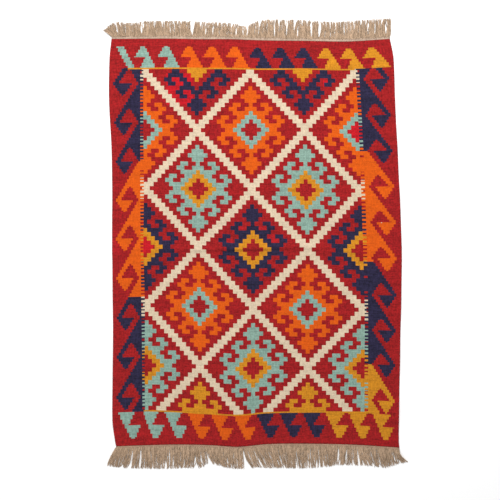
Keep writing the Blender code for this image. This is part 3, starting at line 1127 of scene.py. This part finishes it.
def tube_piece(name, centres, radii, plies, material):
    """One mesh of thin tubes. Each has a row of centre points, with a radius at each of them."""
    count = len(centres)
    run = np.gradient(centres[:, :, :2], axis=1)
    run /= np.linalg.norm(run, axis=-1, keepdims=True)
    turn = np.linspace(0.0, 2 * math.pi, PLY_SIDES, endpoint=False)
    sideways = radii[:, :, None] * np.cos(turn)
    points = np.repeat(centres[:, :, None, :], PLY_SIDES, axis=2)
    points[..., 0] += sideways * run[:, :, 1:2]
    points[..., 1] -= sideways * run[:, :, 0:1]
    points[..., 2] += radii[:, :, None] * np.sin(turn)
    ring = np.arange(count * PLY_SECTIONS * PLY_SIDES).reshape(count, PLY_SECTIONS, PLY_SIDES)
    beside = np.roll(ring, -1, axis=2)
    quads = np.stack([ring[:, :-1], ring[:, 1:], beside[:, 1:], beside[:, :-1]], axis=-1).reshape(-1, 4)
    steps = np.linalg.norm(np.diff(centres, axis=1), axis=-1)
    lengths = np.concatenate([np.zeros((count, 1)), np.cumsum(steps, axis=1)], axis=1)
    loom_warp = np.repeat(plies, PLY_SECTIONS * PLY_SIDES)
    loom_along = np.repeat(lengths.ravel(), PLY_SIDES)
    points = on_floor(*np.moveaxis(points, -1, 0))
    print(name, "has", count, "plies and", 2 * len(quads), "triangles")
    return mesh_piece(name, points, quads, np.zeros(len(quads)), loom_warp, loom_along, [material])


print("faces of each ply:", PLY_SIDES * (PLY_SECTIONS - 1))

# %% Shape one warp end
PLY_RADIUS = 1.05
PLY_OFFSET = 0.85
TWIST_LENGTH = 26.0
TIP_SHARE = 0.35
WANDER_BEND = 5.0
WEB_HEIGHT = 1.8


def end_path(root, lean, lean_at_root, length, outwards, wander, phase, height):
    """Points from the web to the tip of one warp end. It leans late where lean_at_root is under 1."""
    bend = share_along * mix(lean_at_root, 1.0, share_along)
    x = root[0] + lean * bend + wander * share_along * np.sin(WANDER_BEND * share_along + phase)
    y = root[1] + outwards * length * share_along
    z = WEB_HEIGHT / 2 + PLY_OFFSET + height * np.sin(math.pi * share_along) ** 2
    return np.stack([x, y, z], axis=-1)


def add_plies(end, twist, centres, radii):
    """Lays the two plies of one warp end round its path."""
    radius = PLY_RADIUS * mix(1.0, TIP_SHARE, share_along**3)
    for side in (0, 1):
        angle = twist + side * math.pi
        centre = end.copy()
        centre[:, 0] += PLY_OFFSET * np.cos(angle)
        centre[:, 2] += PLY_OFFSET * np.sin(angle)
        centre[:, 2] = np.maximum(centre[:, 2], radius)
        centres.append(centre)
        radii.append(radius)


print("thickness of a warp end:", 2 * (PLY_RADIUS + PLY_OFFSET), "mm")

# %% How loosely they fall
LEAN_AT_ROOT = 0.6
ENDS_OF_WARP = 2
ENDS_OF_CORNER_WARP = 4
GATHER = 0.03
LOCK_LEAN = 3.2
BUNCH_WARPS = 4
BUNCH_DRAW = 0.18
BUNCH_LEAN = 2.2
BUNCH_BOW = 1.8
BUNCH_RISE = 1.4
WANDER = 3.0
CUT_SPREAD = 3.4
STRAY_SHARE = 0.16
STRAY_LEAN = 9.0
STRAY_RISE = 1.6
LOWEST_RISE = -0.3
HIGHEST_RISE = 1.6
ROOT_IN_WEB = 0.6
ROOT_UNEVEN = 0.2
WARP_PITCH = (SIDES[0].right - SIDES[0].left) / WARPS
# Outwards is 1 at the top end and -1 at the bottom. The corners say how early the left and the right
# outermost lock lean: late where it is less than 1, and at once where it is more.
Fringe = namedtuple("Fringe", "name falls outwards web_width corners seed")
TOP_WEB_WIDTH = 16.0
BOTTOM_WEB_WIDTH = 10.0
TOP_FRINGE = Fringe("top_warp_ends", TOP_FALL, 1, TOP_WEB_WIDTH, (0.6, 0.6), 11)
BOTTOM_FRINGE = Fringe("bottom_warp_ends", BOTTOM_FALL, -1, BOTTOM_WEB_WIDTH, (1.7, 0.1), 12)
print("distance between warps at the bottom end:", round(WARP_PITCH, 2), "mm")


# %% Lay the warp ends
def make_fringe(fringe):
    """All the plies of one end of the rug, as one mesh."""
    name, falls, outwards, web_width, corners, seed = fringe
    chance = np.random.default_rng(seed)
    end_along = LOOM_END if outwards > 0 else LOOM_START
    centres, radii, plies = [], [], []
    for lock in locks_across():
        ends = ENDS_OF_CORNER_WARP if lock.outermost else ENDS_OF_WARP
        middle = lock.first + lock.warps / 2
        lean_at_root = corners[lock.first > 0] if lock.outermost else LEAN_AT_ROOT
        bunches = math.ceil(lock.warps / BUNCH_WARPS)
        lock_lean = chance.normal(0, LOCK_LEAN)
        bunch_leans = chance.normal(0, BUNCH_LEAN, bunches)
        bunch_bows = chance.normal(0, BUNCH_BOW, bunches)
        bunch_rises = chance.uniform(0, BUNCH_RISE, bunches)
        for i in range(lock.warps * ends):
            warp = lock.first + (i + 0.5) / ends
            bunch = math.floor((warp - lock.first) / BUNCH_WARPS)
            bunch_warp = lock.first + min((bunch + 0.5) * BUNCH_WARPS, lock.warps - 0.5)
            lean_at = warp if lock.outermost else middle
            draw = GATHER * (middle - warp) + BUNCH_DRAW * (bunch_warp - warp)
            lean = float(smooth_at(falls, "across", "lean", lean_at / WARPS))
            stray = chance.random() < STRAY_SHARE
            if not lock.outermost:
                lean += draw * WARP_PITCH + lock_lean + bunch_leans[bunch]
                lean += chance.normal(0, STRAY_LEAN) if stray else 0.0
            reach = float(smooth_at(falls, "across", "reach", warp / WARPS))
            reach -= abs(chance.normal(0, CUT_SPREAD))
            height = chance.uniform(LOWEST_RISE, HIGHEST_RISE) + bunch_rises[bunch]
            height += STRAY_RISE if stray else 0.0
            x, y = cloth_place(warp, end_along)
            root_out = web_width * (ROOT_IN_WEB + chance.uniform(-ROOT_UNEVEN, ROOT_UNEVEN))
            root = (float(x), float(y) + outwards * root_out)
            wander, phase = chance.normal(0, WANDER), chance.uniform(0, 2 * math.pi)
            end = end_path(root, lean, lean_at_root, reach - root_out, outwards, wander, phase, height)
            end[:, 0] += bunch_bows[bunch] * np.sin(math.pi * share_along)
            turns = (reach - root_out) * share_along / TWIST_LENGTH
            add_plies(end, 2 * math.pi * turns + chance.uniform(0, 2 * math.pi), centres, radii)
            plies += [2 * ends * warp, 2 * ends * warp + 1]
    return tube_piece(name, np.array(centres), np.array(radii), np.array(plies), loose_material)


top_warp_ends = make_fringe(TOP_FRINGE)
bottom_warp_ends = make_fringe(BOTTOM_FRINGE)

# %% [markdown]
# A few single yarns have worked loose and lie across the locks. They are laid one by one, each as a bow
# between two places on the fringe.

# %% Lay the loose yarns
Loose = namedtuple("Loose", "start_x start_y end_x end_y bow")
LOOSE_YARNS = [
    Loose(-483, 788, -438, 773, -9),
    Loose(-352, -731, -306, -750, 7),
    Loose(72, -758, 110, -752, 5),
]
LOOSE_HEIGHT = 5.0
LOOSE_RADIUS = 1.1
# So far apart their numbers are for the material, which gives each a tone of its own.
LOOSE_NUMBER_STEP = 7.0


def loose_path(loose):
    """Points along a loose yarn, which is highest in the middle, where it crosses the locks."""
    x = mix(loose.start_x, loose.end_x, share_along)
    y = mix(loose.start_y, loose.end_y, share_along) + loose.bow * np.sin(math.pi * share_along)
    return np.stack([x, y, LOOSE_HEIGHT * (0.5 + 0.5 * np.sin(math.pi * share_along))], axis=-1)


loose_centres = np.array([loose_path(loose) for loose in LOOSE_YARNS])
loose_radii = np.full(loose_centres.shape[:2], LOOSE_RADIUS)
loose_plies = np.arange(len(LOOSE_YARNS)) * LOOSE_NUMBER_STEP
loose_top = tube_piece("loose_yarn_top", loose_centres[:1], loose_radii[:1], loose_plies[:1], loose_material)
loose_bottom = tube_piece(
    "loose_yarns_bottom", loose_centres[1:], loose_radii[1:], loose_plies[1:], loose_material
)

# %% [markdown]
# The web is the last of the weaving: a few rows of the same undyed yarn beside the cloth, ribbed over the
# warps like the face. Each weft row of it shows as a low step.


# %% Weave the webs
ROW_OF_WEB = 3.2
STEPS_OF_ROW = 4
WEB_CREST = 0.35
WEB_VALLEY = -0.15
WEB_ROW_HEIGHT = 0.3
WEB_GAP = 0.3


def make_web(name, outwards, width, material):
    """The undyed rows at one end, as a ribbed sheet whose edges come down to the floor."""
    columns = half_warps(0, WARPS)
    rows = round(width / ROW_OF_WEB)
    steps = np.linspace(0.0, width, rows * STEPS_OF_ROW + 1)
    end_along = LOOM_END if outwards > 0 else LOOM_START
    warp, out = np.meshgrid(columns, steps if outwards > 0 else steps[::-1])
    x, y = cloth_place(warp, np.full(warp.shape, float(end_along)))
    y = y + outwards * (WEB_GAP + out)
    crest = np.where(on_crest(warp), WEB_CREST, WEB_VALLEY)
    row_wave = -WEB_ROW_HEIGHT * np.cos(2 * math.pi * rows * out / width)
    edge = np.isclose(out, 0.0) | np.isclose(out, width) | np.isclose(warp, 0.0) | np.isclose(warp, WARPS)
    z = np.where(edge, 0.0, WEB_HEIGHT + crest + row_wave)
    one_yarn = np.zeros((len(steps) - 1, len(columns) - 1))
    return grid_piece(name, x, y, z, warp, out, one_yarn, [material])


top_web = make_web("top_web", 1, TOP_WEB_WIDTH, top_web_material)
bottom_web = make_web("bottom_web", -1, BOTTOM_WEB_WIDTH, bottom_web_material)
print("rows in the top web:", round(TOP_WEB_WIDTH / ROW_OF_WEB))

# %% [markdown]
# ## Hang each piece on the rug's body
#
# Every piece rides on the rug's one body and takes the place of the plain imported piece.

# %% Hand the pieces to the frame
top_pieces = [top_warp_ends, top_web, loose_top]
bottom_pieces = [bottom_warp_ends, bottom_web, loose_bottom]
for node, slot, pieces in (
    ("kilim_cloth", "dyed_wool", face_pieces + [cloth_body]),
    ("top_fringe", "undyed_warp", top_pieces),
    ("bottom_fringe", "undyed_warp", bottom_pieces),
):
    for piece in pieces:
        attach(piece, "root")
        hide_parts(node)

# %% [markdown]
# ## Floor and light
#
# The floor is plain and nearly white. One large soft light stands beyond the top end of the rug, because
# the photograph is paler there. A weaker one stands at the left, and an even light from all round fills
# the shadows.

# %% Lay the floor
FLOOR_HALF = 6.0
FLOOR_DROP = 0.2
FLOOR_WHITE = 0.98
floor_mesh = bpy.data.meshes.new("floor")
FLOOR_CORNERS = ((-1, -1), (1, -1), (1, 1), (-1, 1))
floor_points = [(x * FLOOR_HALF, y * FLOOR_HALF, 0.0) for x, y in FLOOR_CORNERS]
floor_mesh.from_pydata(floor_points, [], [(0, 1, 2, 3)])
floor = bpy.data.objects.new("floor", floor_mesh)
bpy.context.scene.collection.objects.link(floor)
floor.location.z = -FLOOR_DROP * MM
floor_material, _, floor_shader = new_material("pale_floor")
set_finish(floor_shader, {"Base Color": (FLOOR_WHITE, FLOOR_WHITE, FLOOR_WHITE, 1.0), "Roughness": 0.8})
floor_mesh.materials.append(floor_material)
print("floor:", 2 * FLOOR_HALF, "m across")

# %% Set the lights
Lamp = namedtuple("Lamp", "name x y z size power")
LAMPS = [
    Lamp("soft_light_top", 0.2, 2.6, 2.6, 2.4, 130),
    Lamp("soft_light_left", -2.4, 0.0, 2.4, 2.0, 25),
]
for lamp in LAMPS:
    data = bpy.data.lights.new(lamp.name, "AREA")
    data.size = lamp.size
    data.energy = lamp.power
    light = bpy.data.objects.new(lamp.name, data)
    light.location = (lamp.x, lamp.y, lamp.z)
    aim = -light.location.normalized()
    light.rotation_euler = aim.to_track_quat("-Z", "Y").to_euler()
    bpy.context.scene.collection.objects.link(light)
SKY_STRENGTH = 0.57
world = bpy.data.worlds.new("soft_sky")
world.use_nodes = True
set_finish(world.node_tree.nodes["Background"], {"Color": (1.0, 1.0, 1.0, 1.0), "Strength": SKY_STRENGTH})
bpy.context.scene.world = world
bpy.context.scene.view_settings.view_transform = "Standard"
print("lamps:", [lamp.name for lamp in LAMPS], "and an even sky of", SKY_STRENGTH)
